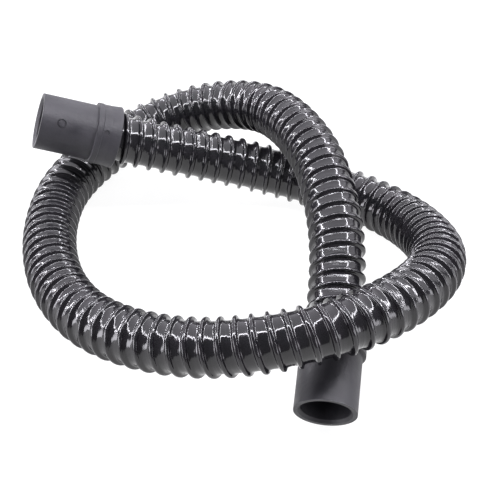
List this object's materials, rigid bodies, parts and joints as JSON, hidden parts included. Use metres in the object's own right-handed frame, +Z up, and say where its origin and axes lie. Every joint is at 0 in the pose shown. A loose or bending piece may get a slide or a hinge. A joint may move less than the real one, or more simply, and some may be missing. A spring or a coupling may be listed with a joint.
{
  "type": "vacuum hose",
  "caption": "Spiral-ribbed suction hose lying in an overhand loop, with a moulded swivel cuff on each end that pushes onto a round spigot.",
  "frame": {"origin": "on the ground under the middle of the whole object's box", "axes": "+Z up, +X to the right, +Y away from the lower cuff's mouth along the object's longest side"},
  "size_m": [0.3709, 0.3865, 0.1193],
  "materials": {
    "hose_wall": "glossy black flexible plastic",
    "cuff": "satin dark grey moulded plastic",
    "bush": "plain black moulded plastic",
    "seal": "soft black rubber"
  },
  "bodies": {
    "hose": {"hose": "hose_wall", "bush_upper": "bush", "bush_lower": "bush", "seal_upper": "seal", "seal_lower": "seal"},
    "cuff_upper": {"cuff_upper": "cuff"},
    "cuff_lower": {"cuff_lower": "cuff"}
  },
  "joints": [
    {"name": "cuff_upper_swivel", "type": "hinge", "parent": "hose", "child": "cuff_upper", "pos_m": [-0.11764, 0.08781, 0.07708], "axis": [-0.9412, -0.083, 0.3276], "continuous": true},
    {"name": "cuff_lower_swivel", "type": "hinge", "parent": "hose", "child": "cuff_lower", "pos_m": [0.07332, -0.12859, 0.04139], "axis": [-0.1245, -0.9471, -0.2957], "continuous": true}
  ]
}
